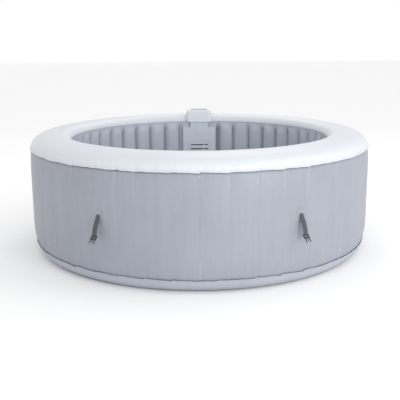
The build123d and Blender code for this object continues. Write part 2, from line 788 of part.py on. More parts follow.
# Circulation pump: volute, motor and the impeller on its shaft
with BuildPart() as pump_housing:
    bar(Plane.XY.offset(volute_bottom), [(0, pump_y)], volute_radius, volute_height)
    bar(Plane.XY.offset(volute_top), [(0, pump_y)], nipple_radius, nipple_length)
    bar(upright(pump_y), [(discharge_place, discharge_height)], nipple_radius, pump_y - discharge_end)
    bar(Plane.XY.offset(volute_bottom + volute_wall), [(0, pump_y)], volute_radius - volute_wall,
        volute_height - 2 * volute_wall, mode=Mode.SUBTRACT)
    bar(Plane.XY.offset(volute_top - volute_wall), [(0, pump_y)], nipple_bore, nipple_length + volute_wall,
        mode=Mode.SUBTRACT)
    bar(upright(pump_y), [(discharge_place, discharge_height)], nipple_bore, pump_y - discharge_end,
        mode=Mode.SUBTRACT)
    bar(Plane.XY.offset(volute_bottom), [(0, pump_y)], shaft_radius + running_gap, volute_wall,
        mode=Mode.SUBTRACT)
save(pump_housing, "pump_housing")

with BuildPart() as pump_motor:
    bar(Plane.XY.offset(floor_inside), [(0, pump_y)], motor_radius, motor_height)
    bar(Plane.XY.offset(volute_bottom), [(0, pump_y)], shaft_radius + running_gap, -shaft_depth,
        mode=Mode.SUBTRACT)
save(pump_motor, "pump_motor")

disc_bottom = volute_bottom + volute_wall + impeller_lift
with BuildPart() as pump_rotor:
    bar(Plane.XY.offset(disc_bottom), [(0, pump_y)], impeller_radius, impeller_disc)
    bar(Plane.XY.offset(disc_bottom), [(0, pump_y)], hub_radius, impeller_disc + blade_height)
    with BuildSketch(Plane.XY.offset(disc_bottom + impeller_disc)):
        with Locations((0, pump_y)):
            with PolarLocations((hub_radius + impeller_radius) / 2 - blade_root, blade_count):
                Rectangle(impeller_radius - hub_radius, blade_thickness)
    extrude(amount=blade_height)
    bar(Plane.XY.offset(disc_bottom), [(0, pump_y)], shaft_radius,
        volute_bottom - shaft_depth + weld_gap - disc_bottom)
save(pump_rotor, "pump_rotor")

# Heater: pipe with a nipple at each end, a mounting arm, and the hairpin element
with BuildPart() as heater_tube:
    bar(Plane.XY.offset(heater_bottom), [(discharge_place, heater_y)], heater_radius, heater_length)
    bar(Plane.XY.offset(heater_bottom - nipple_length), [(discharge_place, heater_y)], nipple_radius,
        heater_length + 2 * nipple_length)
    block((discharge_place, heater_y - foot_size / 2, (heater_bottom + heater_top - foot_size) / 2),
          (unit_inside, heater_y + foot_size / 2, (heater_bottom + heater_top + foot_size) / 2))
    bar(Plane.XY.offset(heater_bottom + heater_wall), [(discharge_place, heater_y)],
        heater_radius - heater_wall, heater_length - 2 * heater_wall, mode=Mode.SUBTRACT)
    bar(Plane.XY.offset(heater_bottom - nipple_length), [(discharge_place, heater_y)], nipple_bore,
        heater_length + 2 * nipple_length, mode=Mode.SUBTRACT)
save(heater_tube, "heater_tube")

rod_left = discharge_place - element_spread
rod_right = discharge_place + element_spread
rod_top = heater_top - heater_wall
rod_turn = heater_bottom + heater_wall + element_clear + element_spread
with BuildPart() as heater_element:
    with BuildLine() as hairpin:
        down = Line((rod_left, heater_y, rod_top), (rod_left, heater_y, rod_turn))
        turn = TangentArc(down @ 1, (rod_right, heater_y, rod_turn), tangent=(0, 0, -1))
        Line(turn @ 1, (rod_right, heater_y, rod_top))
    with BuildSketch(Plane(origin=hairpin.line @ 0, z_dir=hairpin.line % 0)):
        Circle(element_radius)
    sweep(path=hairpin.line)
save(heater_element, "heater_element")

# Water hoses: filter to pump, pump to heater, heater to the outlet nozzle
outlet_end = panel_front + outlet_length
crossing = heater_top + nipple_length + hose_radius + bend_radius / 2
with BuildPart() as water_hoses:
    hose([(0, pump_y, filter_height - well_radius - well_wall - nipple_length + hose_grip),
          (0, pump_y, volute_top + nipple_length - hose_grip)], hose_radius, hose_bore, bend_radius)
    hose([(discharge_place, discharge_end - hose_grip, discharge_height),
          (discharge_place, heater_y, discharge_height),
          (discharge_place, heater_y, heater_bottom - nipple_length + hose_grip)],
         hose_radius, hose_bore, bend_radius)
    hose([(discharge_place, heater_y, heater_top + nipple_length - hose_grip),
          (discharge_place, heater_y, crossing),
          (outlet_place, heater_y, crossing), (outlet_place, heater_y, outlet_height),
          (outlet_place, outlet_end - hose_grip, outlet_height)], hose_radius, hose_bore, bend_radius)
save(water_hoses, "water_hoses")

# Air blower: scroll with an intake and a downward nipple, motor and fan
scroll_rear = blower_y + scroll_depth
with BuildPart() as blower_housing:
    bar(upright(blower_y), [(blower_place, blower_height)], scroll_radius, -scroll_depth)
    bar(Plane.XY.offset(blower_height), [(air_place, air_drop_y)], air_nipple_radius,
        air_nipple_end - blower_height)
    block((blower_place + scroll_radius - unit_wall, blower_y + foot_size / 2,
           blower_height - foot_size / 2),
          (unit_inside, blower_y + 1.5 * foot_size, blower_height + foot_size / 2))
    bar(upright(blower_y + scroll_wall), [(blower_place, blower_height)], scroll_radius - scroll_wall,
        2 * scroll_wall - scroll_depth, mode=Mode.SUBTRACT)
    bar(upright(blower_y), [(blower_place, blower_height)], intake_radius, -scroll_wall, mode=Mode.SUBTRACT)
    bar(Plane.XY.offset(blower_height), [(air_place, air_drop_y)], air_nipple_bore,
        air_nipple_end - blower_height, mode=Mode.SUBTRACT)
    bar(upright(scroll_rear), [(blower_place, blower_height)], blower_shaft_radius + running_gap,
        scroll_wall, mode=Mode.SUBTRACT)
save(blower_housing, "blower_housing")

with BuildPart() as blower_motor:
    bar(upright(scroll_rear), [(blower_place, blower_height)], blower_motor_radius, -blower_motor_length)
    bar(upright(scroll_rear), [(blower_place, blower_height)], blower_shaft_radius + running_gap,
        -blower_motor_length / 2, mode=Mode.SUBTRACT)
save(blower_motor, "blower_motor")

fan_rear = scroll_rear - scroll_wall - fan_clear
fan_depth = scroll_depth - 2 * scroll_wall - 2 * fan_clear
with BuildPart() as blower_rotor:
    bar(upright(fan_rear), [(blower_place, blower_height)], fan_radius, fan_disc)
    with BuildSketch(upright(fan_rear)):
        with Locations((blower_place, blower_height)):
            with PolarLocations((fan_inner_radius + fan_radius) / 2 - fan_blade_inset, fan_blades):
                Rectangle(fan_radius - fan_inner_radius, fan_blade_thickness)
    extrude(amount=fan_depth)
    bar(upright(fan_rear - fan_disc), [(blower_place, blower_height)], blower_shaft_radius,
        fan_rear - fan_disc - scroll_rear - blower_motor_length / 2 + weld_gap)
save(blower_rotor, "blower_rotor")

# Air hose, down through the unit's floor and under the pocket to the bubble channel
hose_end = sqrt(floor_radius ** 2 - (air_place - air_hose_radius) ** 2) + weld_gap
with BuildPart() as air_hose:
    hose([(air_place, air_drop_y, air_nipple_end + hose_grip), (air_place, air_drop_y, bubble_mid_height),
          (air_place, hose_end, bubble_mid_height)], air_hose_radius, air_hose_bore, air_bend_radius)
save(air_hose, "air_hose")

# Circuit board with its relays, transformer and capacitors
board_left = board_place - board_width / 2
board_low = board_middle - board_height / 2
with BuildPart() as main_board:
    block((board_left, board_back - board_thickness, board_low),
          (board_left + board_width, board_back, board_low + board_height))
    with BuildSketch(upright(board_back - board_thickness)):
        with Locations((board_place, board_low + relay_rise)):
            with GridLocations(relay_pitch, 1, relay_count, 1):
                Rectangle(*relay_size)
        with Locations((board_place + transformer_spot[0], board_low + transformer_spot[1])):
            Rectangle(*transformer_size)
        with Locations((board_place + capacitor_spot[0], board_low + capacitor_spot[1])):
            with GridLocations(*capacitor_pitch, 2, 2):
                Circle(capacitor_radius)
        with Locations((board_place, board_low + terminal_rise)):
            Rectangle(*terminal_size)
    extrude(amount=component_height)
save(main_board, "main_board")

# Cable gland in the rear cover, where the mains lead comes in
with BuildPart() as cable_gland:
    bar(upright(unit_rear - gland_inner), [(gland_place, gland_height)], gland_radius,
        unit_rear - gland_inner - wall_radius)
    bar(upright(unit_rear), [(gland_place, gland_height)], gland_flange_radius, gland_inner)
    bar(upright(cover_outer), [(gland_place, gland_height)], gland_flange_radius, -gland_flange)
    bar(upright(unit_rear - gland_inner), [(gland_place, gland_height)], gland_bore, -far,
        mode=Mode.SUBTRACT)
save(cable_gland, "cable_gland")


def pod_shape():
    """Barrel-sided block of the control pod, before it is split and seated on the rim."""
    widest = (pod_top_height + pod_bottom) / 2
    with BuildSketch(upright(pod_front)) as barrel:
        with BuildLine() as outline:
            low = Line((-pod_low_half_width, pod_bottom), (pod_low_half_width, pod_bottom))
            high = Line((pod_top_half_width, pod_top_height), (-pod_top_half_width, pod_top_height))
            ThreePointArc(low @ 1, (pod_half_width, widest), high @ 0)
            ThreePointArc(high @ 1, (-pod_half_width, widest), low @ 0)
        make_face(outline.edges())
    extrude(barrel.sketch, amount=-pod_depth)
    with BuildSketch(Plane.XY.offset(pod_bottom)) as plan:
        with Locations((0, pod_middle)):
            RectangleRounded(2 * pod_half_width, pod_depth, pod_corner)
    extrude(plan.sketch, amount=pod_top_height - pod_bottom, mode=Mode.INTERSECT)
    fillet(edges().group_by(Axis.Z)[-1], pod_round)


# Pod base, saddled on the rim, with the neck that carries its cables down to the unit
with BuildPart() as pod_base:
    pod_shape()
    split(bisect_by=Plane.XY.offset(split_height), keep=Keep.BOTTOM)
    ring_body(-pod_seat_gap, Mode.SUBTRACT)
    block((-pod_inside_half_width, pod_front + pod_wall, pod_bottom + pod_wall),
          (pod_inside_half_width, water_radius - pod_wall, split_height), mode=Mode.SUBTRACT)
    block((-neck_half_width, neck_front, unit_top), (neck_half_width, neck_rear, split_height))
    block((-neck_half_width + neck_wall, neck_front + neck_wall, unit_top),
          (neck_half_width - neck_wall, neck_rear - neck_wall, split_height), mode=Mode.SUBTRACT)
save(pod_base, "pod_base")

key_spots = [((index - (key_count - 1) / 2) * key_pitch, pod_middle + key_row) for index in range(key_count)]
screen_spot = (0, pod_middle + screen_row)
display_posts = [(side * (overlay_width / 2 + display_post_gap),
                  pod_middle + end * (overlay_depth / 2 - display_post_inset))
                 for side in (-1, 1) for end in (-1, 1)]
with BuildPart() as pod_top:
    pod_shape()
    split(bisect_by=Plane.XY.offset(split_height), keep=Keep.TOP)
    with BuildSketch(Plane.XY.offset(split_height)):
        with Locations((0, pod_middle)):
            RectangleRounded(2 * pod_inside_half_width, pod_depth - 2 * pod_inset, pod_corner - pod_inset)
    extrude(amount=deck_bottom - split_height, mode=Mode.SUBTRACT)
    block((-overlay_width / 2, pod_middle - overlay_depth / 2, deck_top),
          (overlay_width / 2, pod_middle + overlay_depth / 2, pod_top_height), mode=Mode.SUBTRACT)
    bar(Plane.XY.offset(deck_bottom), display_posts, board_post_radius, display_board_top - deck_bottom)
    bar(Plane.XY.offset(deck_bottom), key_spots, key_radius, deck_thickness, mode=Mode.SUBTRACT)
    with BuildSketch(Plane.XY.offset(deck_bottom)):
        with Locations(screen_spot):
            Rectangle(screen_width, screen_depth)
    extrude(amount=deck_thickness, mode=Mode.SUBTRACT)
save(pod_top, "pod_top")

with BuildPart() as display_overlay:
    block((-overlay_width / 2 + overlay_gap, pod_middle - overlay_depth / 2 + overlay_gap, deck_top),
          (overlay_width / 2 - overlay_gap, pod_middle + overlay_depth / 2 - overlay_gap, pod_top_height))
    bar(Plane.XY.offset(deck_top), key_spots, key_radius, overlay_thickness, mode=Mode.SUBTRACT)
save(display_overlay, "display_overlay")

with BuildPart() as display_board:
    block((-overlay_width / 2 - board_margin, pod_middle - overlay_depth / 2,
           display_board_top - board_thickness),
          (overlay_width / 2 + board_margin, pod_middle + overlay_depth / 2, display_board_top))
    with BuildSketch(Plane.XY.offset(display_board_top)):
        with Locations(*key_spots):
            Rectangle(switch_size, switch_size)
    extrude(amount=switch_size / 2)
    with BuildSketch(Plane.XY.offset(display_board_top)):
        with Locations(screen_spot):
            Rectangle(screen_width - skin, screen_depth - skin)
    extrude(amount=deck_bottom - display_board_top + weld_gap)
save(display_board, "display_board")

# Push keys, each travelling down onto its switch
for index, spot in enumerate(key_spots):
    with BuildPart() as key:
        bar(Plane.XY.offset(key_bottom), [spot], key_radius - key_gap,
            pod_top_height + key_proud - key_bottom)
        bar(Plane.XY.offset(key_flange_top - key_flange), [spot], key_flange_radius, key_flange)
    save(key, f"button_{index + 1}")
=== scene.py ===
from math import atan2, cos, exp, hypot, pi, radians, sin

import bmesh
import bpy
from mathutils import Matrix, Vector, noise


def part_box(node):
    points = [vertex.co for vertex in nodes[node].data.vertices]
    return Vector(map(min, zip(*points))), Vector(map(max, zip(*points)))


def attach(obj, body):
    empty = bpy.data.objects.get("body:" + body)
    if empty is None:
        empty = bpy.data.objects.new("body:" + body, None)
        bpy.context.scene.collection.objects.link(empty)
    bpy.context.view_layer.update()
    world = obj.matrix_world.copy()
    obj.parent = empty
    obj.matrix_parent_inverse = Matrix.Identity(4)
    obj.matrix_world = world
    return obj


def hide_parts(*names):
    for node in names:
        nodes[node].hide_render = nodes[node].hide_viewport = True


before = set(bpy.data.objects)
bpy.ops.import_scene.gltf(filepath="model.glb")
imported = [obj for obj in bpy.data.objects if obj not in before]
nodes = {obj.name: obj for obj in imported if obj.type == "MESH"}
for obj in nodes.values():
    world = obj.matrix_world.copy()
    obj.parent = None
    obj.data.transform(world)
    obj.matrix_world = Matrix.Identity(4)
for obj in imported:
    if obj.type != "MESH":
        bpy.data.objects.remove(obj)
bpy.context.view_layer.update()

mm = 0.001
cadSheet = 2 * mm  # thickness of the CAD's sheets

# Sizes of the air ring, taken from the CAD where it has them
ring = {
    "wallRadius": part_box("outer_wall")[1][0],
    "seamLow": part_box("outer_wall")[0][2],
    "seamTop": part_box("outer_wall")[1][2],
    "height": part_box("top_rim")[1][2],
    "waterRadius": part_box("inner_wall")[1][0] - cadSheet,
    "innerSeam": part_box("inner_wall")[1][2],
    "groundRadius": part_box("base_skin")[1][0],
    "floorTop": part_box("floor_liner")[1][2],
    "topInset": 8 * mm,
    "lowInset": 16 * mm,
    "rollWidth": 62.5 * mm,
    "rollPower": 2.6,
    "straightLow": 180 * mm,
    "straightDrop": 220 * mm,
    "sheet": 1.2 * mm,  # thickness of the visible sheets
    "core": 0.9,  # radius of the middle of the air space
    "steps": 1075,
}
ring["crestRadius"] = ring["waterRadius"] + ring["rollWidth"]
ring["topRadius"] = ring["wallRadius"] - ring["topInset"]
ring["lowRadius"] = ring["wallRadius"] - ring["lowInset"]
ring["straightHigh"] = ring["height"] - ring["straightDrop"]

beams = {"count": 43, "bayHalf": 10.2}
beams["step"] = (360 - 2 * beams["bayHalf"]) / (beams["count"] - 1)


def smooth(value, low, high):
    t = min(max((value - low) / (high - low), 0), 1)
    return t * t * (3 - 2 * t)


def wave(angle, detail, seed):
    # noise that closes on itself round the ring
    return noise.noise(Vector((detail * cos(angle), detail * sin(angle), seed)))


def draw(index, seed):
    return noise.cell(Vector((index + 0.5, seed + 0.5, 3.5)))


def beamPlace(x, y):
    # which lobe a point is in, how far across it (0 to 1), or None in the bay behind the unit
    turn = atan2(x, y) * 180 / pi % 360
    across = (turn - beams["bayHalf"]) / beams["step"]
    if turn < beams["bayHalf"] or turn > 360 - beams["bayHalf"]:
        return None
    return int(across), across - int(across)


def makePiece(name, bm, material, stands=(), body="tub", flat=False):
    mesh = bpy.data.meshes.new(name)
    bm.to_mesh(mesh)
    bm.free()
    piece = bpy.data.objects.new(name, mesh)
    bpy.context.scene.collection.objects.link(piece)
    mesh.materials.append(material)
    if not flat:
        mesh.shade_smooth()
    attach(piece, body)
    if stands:
        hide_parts(*stands)
    return piece


def addModifier(piece, kind, **settings):
    modifier = piece.modifiers.new(kind.title(), kind)
    for key, value in settings.items():
        setattr(modifier, key, value)
    return modifier


def spinOutline(points, steps):
    bm = bmesh.new()
    line = [bm.verts.new((r, 0, z)) for r, z in points]
    edges = [bm.edges.new(pair) for pair in zip(line, line[1:])]
    bmesh.ops.spin(bm, geom=line + edges, cent=(0, 0, 0), axis=(0, 0, 1), angle=2 * pi, steps=steps,
                   use_merge=True)
    bmesh.ops.remove_doubles(bm, verts=bm.verts, dist=0.01 * mm)
    bmesh.ops.recalc_face_normals(bm, faces=bm.faces)
    return bm


def faceAwayFrom(bm, radius, height):
    # turns the sheet so that its faces look away from the ring's core
    total = 0
    for face in bm.faces:
        c = face.calc_center_median()
        r = hypot(c.x, c.y)
        away = Vector((c.x / r * (r - radius), c.y / r * (r - radius), c.z - height))
        total += face.normal.dot(away)
    if total < 0:
        bmesh.ops.reverse_faces(bm, faces=bm.faces)


def shapeRing(bm, shaper):
    for vert in bm.verts:
        r = hypot(vert.co.x, vert.co.y)
        out, up = shaper(vert.co.x, vert.co.y, r, vert.co.z)
        vert.co.x *= (r + out) / r
        vert.co.y *= (r + out) / r
        vert.co.z += up


def cutWindow(bm, low, high, margin=50 * mm):
    # opens a box-shaped hole through a sheet, with clean edges; only faces within the margin are split
    for axis in range(3):
        for place in (low[axis], high[axis]):
            near = [f for f in bm.faces
                    if all(low[k] - margin < f.calc_center_median()[k] < high[k] + margin for k in range(3))]
            geom = near + list({e for f in near for e in f.edges}) + list({v for f in near for v in f.verts})
            point = Vector((0, 0, 0))
            point[axis] = place
            normal = Vector((0, 0, 0))
            normal[axis] = 1
            bmesh.ops.bisect_plane(bm, geom=geom, dist=0.001 * mm, plane_co=point, plane_no=normal)
    inside = [f for f in bm.faces if all(low[k] < f.calc_center_median()[k] < high[k] for k in range(3))]
    bmesh.ops.delete(bm, geom=inside, context="FACES")


# Materials: scales of the patterns, and how much the gloss varies
vinyl = {"wrinkleStreaks": 30, "wrinkleStretch": 0.06, "mottles": 3.2, "glossPatches": 9, "glossLess": 0.06,
         "glossMore": 0.08, "puckers": 26, "cells": 420.0, "grains": 900, "coat": 0.08, "coatRoughness": 0.35}
plastic = {"specks": 14, "texture": 1400, "waves": 60}
weaving = {"rows": 26.0, "cords": 5.0, "fibres": 90, "roughness": 0.85, "sheen": 0.3}
brushing = {"lines": 60, "stretch": 30}


def newMaterial(name, colour, roughness, metallic=0.0, coat=0.0, sheen=0.0):
    material = bpy.data.materials.new(name)
    material.use_nodes = True
    tree = material.node_tree
    shader = tree.nodes["Principled BSDF"]
    shader.inputs["Base Color"].default_value = (*colour, 1)
    shader.inputs["Roughness"].default_value = roughness
    shader.inputs["Metallic"].default_value = metallic
    shader.inputs["Coat Weight"].default_value = coat
    shader.inputs["Sheen Weight"].default_value = sheen
    return material, tree, shader


def addNode(tree, kind, **settings):
    node = tree.nodes.new(kind)
    for key, value in settings.items():
        if key in node.inputs:
            node.inputs[key].default_value = value
        else:
            setattr(node, key, value)
    return node


def noiseNode(tree, coords, scale, detail=4.0, roughness=0.55):
    node = addNode(tree, "ShaderNodeTexNoise", Scale=scale, Detail=detail, Roughness=roughness)
    tree.links.new(coords, node.inputs["Vector"])
    return node.outputs["Fac"]


def rampColours(tree, fac, low, high, start=0.3, end=0.7):
    ramp = tree.nodes.new("ShaderNodeValToRGB")
    ramp.color_ramp.elements[0].position = start
    ramp.color_ramp.elements[1].position = end
    ramp.color_ramp.elements[0].color = (*low, 1)
    ramp.color_ramp.elements[1].color = (*high, 1)
    tree.links.new(fac, ramp.inputs["Fac"])
    return ramp.outputs["Color"]


def bumpChain(tree, shader, layers):
    # layers of (height, strength, distance), each laid over the one before
    last = None
    for height, strength, distance in layers:
        bump = addNode(tree, "ShaderNodeBump", Strength=strength, Distance=distance)
        tree.links.new(height, bump.inputs["Height"])
        if last:
            tree.links.new(last, bump.inputs["Normal"])
        last = bump.outputs["Normal"]
    tree.links.new(last, shader.inputs["Normal"])


def objectCoords(tree):
    return tree.nodes.new("ShaderNodeTexCoord").outputs["Object"]


def shade(colour, factor):
    return tuple(min(c * factor, 1) for c in colour)


def laminatedSheet(name, colour, roughness=0.5, mottle=0.05, grain=0.25, wrinkleBumpAndShade=0.0):
    # embossed, reinforced vinyl: fine leather-like grain, fine upright wrinkles as bumps with their light and
    # shade also painted into the colour as faint streaks, soft mottling
    material, tree, shader = newMaterial(name, colour, roughness, coat=vinyl["coat"])
    shader.inputs["Coat Roughness"].default_value = vinyl["coatRoughness"]
    coords = objectCoords(tree)
    stretch = addNode(tree, "ShaderNodeMapping")
    stretch.inputs["Scale"].default_value = (1, 1, vinyl["wrinkleStretch"])
    tree.links.new(coords, stretch.inputs["Vector"])
    lines = noiseNode(tree, stretch.outputs["Vector"], vinyl["wrinkleStreaks"], 4, 0.7)
    broad = noiseNode(tree, coords, vinyl["mottles"], 5)
    # painted shade: the upright wrinkle streaks lighten and darken the base colour here, besides the bump that
    # the same lines drive below
    blend = addNode(tree, "ShaderNodeMapRange")
    tree.links.new(lines, blend.inputs["Value"])
    blend.inputs["To Min"].default_value = -wrinkleBumpAndShade
    blend.inputs["To Max"].default_value = wrinkleBumpAndShade
    total = addNode(tree, "ShaderNodeMath", operation="ADD")
    tree.links.new(broad, total.inputs[0])
    tree.links.new(blend.outputs["Result"], total.inputs[1])
    tint = rampColours(tree, total.outputs[0], shade(colour, 1 - mottle), shade(colour, 1 + mottle))
    tree.links.new(tint, shader.inputs["Base Color"])
    rough = addNode(tree, "ShaderNodeMapRange")
    tree.links.new(noiseNode(tree, coords, vinyl["glossPatches"], 3), rough.inputs["Value"])
    rough.inputs["To Min"].default_value = roughness - vinyl["glossLess"]
    rough.inputs["To Max"].default_value = roughness + vinyl["glossMore"]
    tree.links.new(rough.outputs["Result"], shader.inputs["Roughness"])
    cells = addNode(tree, "ShaderNodeTexVoronoi", Scale=vinyl["cells"])
    tree.links.new(coords, cells.inputs["Vector"])
    bumpChain(tree, shader, [
        (noiseNode(tree, coords, vinyl["puckers"], 3), 0.12, 4 * mm),
        (lines, 0.15 + wrinkleBumpAndShade, 3 * mm),
        (cells.outputs["Distance"], grain, 0.3 * mm),
        (noiseNode(tree, coords, vinyl["grains"], 2), 0.1, 0.15 * mm),
    ])
    return material


def mouldedPlastic(name, colour, roughness=0.4, speck=0.03, texture=0.15):
    material, tree, shader = newMaterial(name, colour, roughness)
    coords = objectCoords(tree)
    specks = noiseNode(tree, coords, plastic["specks"], 5)
    tint = rampColours(tree, specks, shade(colour, 1 - speck), shade(colour, 1 + speck))
    tree.links.new(tint, shader.inputs["Base Color"])
    bumpChain(tree, shader, [(noiseNode(tree, coords, plastic["texture"], 2), texture, 0.08 * mm),
                             (noiseNode(tree, coords, plastic["waves"], 2), 0.05, 0.4 * mm)])
    return material


def wovenWebbing(name, colour):
    # ribbed weave that follows the strap's own UV map: rows across, two edge cords
    material, tree, shader = newMaterial(name, colour, weaving["roughness"], sheen=weaving["sheen"])
    uv = tree.nodes.new("ShaderNodeTexCoord").outputs["UV"]
    rows = addNode(tree, "ShaderNodeTexWave", Scale=weaving["rows"], Distortion=0.3)
    rows.bands_direction = "Y"
    cols = addNode(tree, "ShaderNodeTexWave", Scale=weaving["cords"], Distortion=0.2)
    cols.bands_direction = "X"
    for node in (rows, cols):
        tree.links.new(uv, node.inputs["Vector"])
    weave = addNode(tree, "ShaderNodeMath", operation="MULTIPLY")
    tree.links.new(rows.outputs["Fac"], weave.inputs[0])
    tree.links.new(cols.outputs["Fac"], weave.inputs[1])
    tint = rampColours(tree, weave.outputs[0], shade(colour, 0.7), shade(colour, 1.25), 0.0, 0.8)
    tree.links.new(tint, shader.inputs["Base Color"])
    bumpChain(tree, shader, [(weave.outputs[0], 0.6, 0.5 * mm),
                             (noiseNode(tree, uv, weaving["fibres"], 2), 0.2, 0.2 * mm)])
    return material


def brushedMetal(name, colour, roughness=0.35):
    material, tree, shader = newMaterial(name, colour, roughness, metallic=1.0)
    coords = objectCoords(tree)
    stretch = addNode(tree, "ShaderNodeMapping")
    stretch.inputs["Scale"].default_value = (1, 1, brushing["stretch"])
    tree.links.new(coords, stretch.inputs["Vector"])
    lines = noiseNode(tree, stretch.outputs["Vector"], brushing["lines"], 3)
    tint = rampColours(tree, lines, shade(colour, 0.9), shade(colour, 1.05))
    tree.links.new(tint, shader.inputs["Base Color"])
    bumpChain(tree, shader, [(lines, 0.1, 0.1 * mm)])
    return material


finishes = {
    "rim": laminatedSheet("rimSheet", (0.605, 0.63, 0.675), 0.45, mottle=0.015, grain=0.12),
    # wall and inner sheets: upright wrinkle streaks as bumps, with their shade also painted into the colour
    "wall": laminatedSheet("wallSheet", (0.292, 0.31, 0.358), 0.5, mottle=0.05, wrinkleBumpAndShade=0.35),
    "inner": laminatedSheet("innerSheet", (0.44, 0.475, 0.535), 0.45, mottle=0.03, wrinkleBumpAndShade=0.15),
    "base": laminatedSheet("baseSheet", (0.4, 0.42, 0.48), 0.5, mottle=0.03),
    "beam": laminatedSheet("beamSheet", (0.6, 0.62, 0.65), 0.5),
    "foam": mouldedPlastic("floorFoam", (0.3, 0.32, 0.35), 0.9, 0.1, 0.5),
    "pod": mouldedPlastic("podPlastic", (0.72, 0.75, 0.78), 0.35, 0.01, 0.06),
    "panel": mouldedPlastic("panelPlastic", (0.55, 0.59, 0.66), 0.4, 0.02),
    "rear": mouldedPlastic("rearPlastic", (0.24, 0.26, 0.29), 0.5, 0.03, 0.3),
    "dark": mouldedPlastic("darkPlastic", (0.06, 0.064, 0.07), 0.45),
    "rotor": mouldedPlastic("rotorPlastic", (0.03, 0.03, 0.033), 0.5),
    "webbing": wovenWebbing("strapWebbing", (0.07, 0.078, 0.09)),
    "buckle": mouldedPlastic("bucklePlastic", (0.035, 0.038, 0.043), 0.35, 0.05),
    "motor": mouldedPlastic("motorPaint", (0.1, 0.105, 0.11), 0.4, 0.05, 0.3),
    "steel": brushedMetal("stainlessSteel", (0.6, 0.6, 0.61)),
    "hose": mouldedPlastic("hoseRubber", (0.02, 0.02, 0.022), 0.6, 0.1, 0.3),
    "filter": mouldedPlastic("filterFleece", (0.72, 0.75, 0.78), 0.95, 0.04, 0.9),
    "circuit": mouldedPlastic("circuitBoard", (0.015, 0.09, 0.04), 0.35, 0.2),
    "overlay": mouldedPlastic("smokedOverlay", (0.012, 0.014, 0.017), 0.12, 0.0, 0.0),
    "key": mouldedPlastic("keyPlastic", (0.05, 0.055, 0.06), 0.3, 0.02),
    "trim": mouldedPlastic("fittingPlastic", (0.4, 0.43, 0.47), 0.4, 0.02),
}
nodeFinishes = {
    "beam": ["baffles"],
    "base": ["base_skin"],
    "inner": ["unit_pocket"],
    "pod": ["pod_base", "pod_top"],
    "panel": ["front_panel", "filter_cover", "outlet_nozzle"],
    "trim": ["drain_fitting", "drain_stopper", "drain_cap", "air_valve_body", "air_valve_cap",
             "air_valve_poppet"],
    "rear": ["rear_cover"],
    "dark": ["unit_housing", "filter_well", "pump_housing", "blower_housing", "filter_end_caps"],
    "rotor": ["pump_rotor", "blower_rotor"],
    "buckle": ["cable_gland"],
    "motor": ["pump_motor", "blower_motor"],
    "steel": ["heater_tube", "heater_element", "rear_screws"],
    "hose": ["water_hoses", "air_hose"],
    "filter": ["filter_cartridge"],
    "circuit": ["main_board", "display_board"],
    "overlay": ["display_overlay"],
    "key": [f"button_{index + 1}" for index in range(5)],
}
for finish, names in nodeFinishes.items():
    for name in names:
        for place in nodes[name].material_slots:
            place.material = finishes[finish]
print("materials made")

# Welded seams: the same offset is used on both sheets of a seam, so that they stay together
seams = {"notch": 6 * mm, "ripple": 2.4 * mm, "step": 5.5 * mm, "pull": 1.8 * mm, "crimp": 0.8 * mm,
         "ripples": 34, "swells": 11, "crimps": 70, "rises": 26,  # how many round the ring
         "baySpan": 8.0, "tugSpan": 0.42, "farSide": 0.35,
         "topSeed": 11, "lowSeed": 41,
         "topFolds": (24, 5), "lowFolds": (22, 9)}  # how many, and the seed that both sheets share


def seamOffset(x, y, seed):
    angle = atan2(y, x)
    fine = wave(angle, seams["ripples"], seed)
    broad = wave(angle, seams["swells"], seed + 7)
    rise = wave(angle, seams["rises"], seed + 5)
    out = seams["ripple"] * fine - seams["crimp"] * abs(wave(angle, seams["crimps"], seed + 3))
    up = seams["ripple"] * rise * 0.9 + seams["ripple"] * 0.5 * broad
    place = beamPlace(x, y)
    if place:
        lobe, across = place
        nearest = lobe + round(across)
        gap = (across - round(across)) * seams["baySpan"]
        size = 0.4 + 0.9 * draw(nearest, seed)
        tug = exp(-(gap / seams["tugSpan"]) ** 2) * size
        out -= seams["pull"] * tug
        up -= seams["notch"] * tug * 0.7 * (1 if gap < 0 else seams["farSide"])
        up += seams["step"] * (draw(lobe, seed + 2) - 0.35) * (0.5 - across)  # small step at each beam
    return out, up


# Outer wall, drawn in slightly at each beam and puckered towards its seams
outer = {"drawn": 1.8 * mm, "weld": 0.5 * mm, "weldWidth": 6 * mm, "pucker": 7 * mm, "fade": 38 * mm,
         "tuck": 10 * mm, "lowTuck": 3.5 * mm, "tuckHeight": 9 * mm, "uneven": 1.1 * mm,
         "firstRow": 4 * mm, "rowGrowth": 0.24, "rowReach": 90 * mm,
         "coverGap": 1 * mm, "windowDepth": (0.9, 1.1)}


def wallOutline():
    rows = []
    z = ring["seamLow"]
    while z < ring["seamTop"] - 1 * mm:
        rows.append(z)
        edge = min(z - ring["seamLow"], ring["seamTop"] - z)
        z += outer["firstRow"] + min(edge, outer["rowReach"]) * outer["rowGrowth"]
    rows.append(ring["seamTop"])
    points = []
    for z in rows:
        r = ring["wallRadius"]
        if z < ring["straightLow"]:
            rise = ring["straightLow"] - ring["seamLow"]
            arc = (rise ** 2 + ring["lowInset"] ** 2) / (2 * ring["lowInset"])
            r -= arc - (arc ** 2 - (ring["straightLow"] - z) ** 2) ** 0.5
        if z > ring["straightHigh"]:
            rise = ring["seamTop"] - ring["straightHigh"]
            arc = (rise ** 2 + ring["topInset"] ** 2) / (2 * ring["topInset"])
            r -= arc - (arc ** 2 - (z - ring["straightHigh"]) ** 2) ** 0.5
        points.append((r, z))
    return points


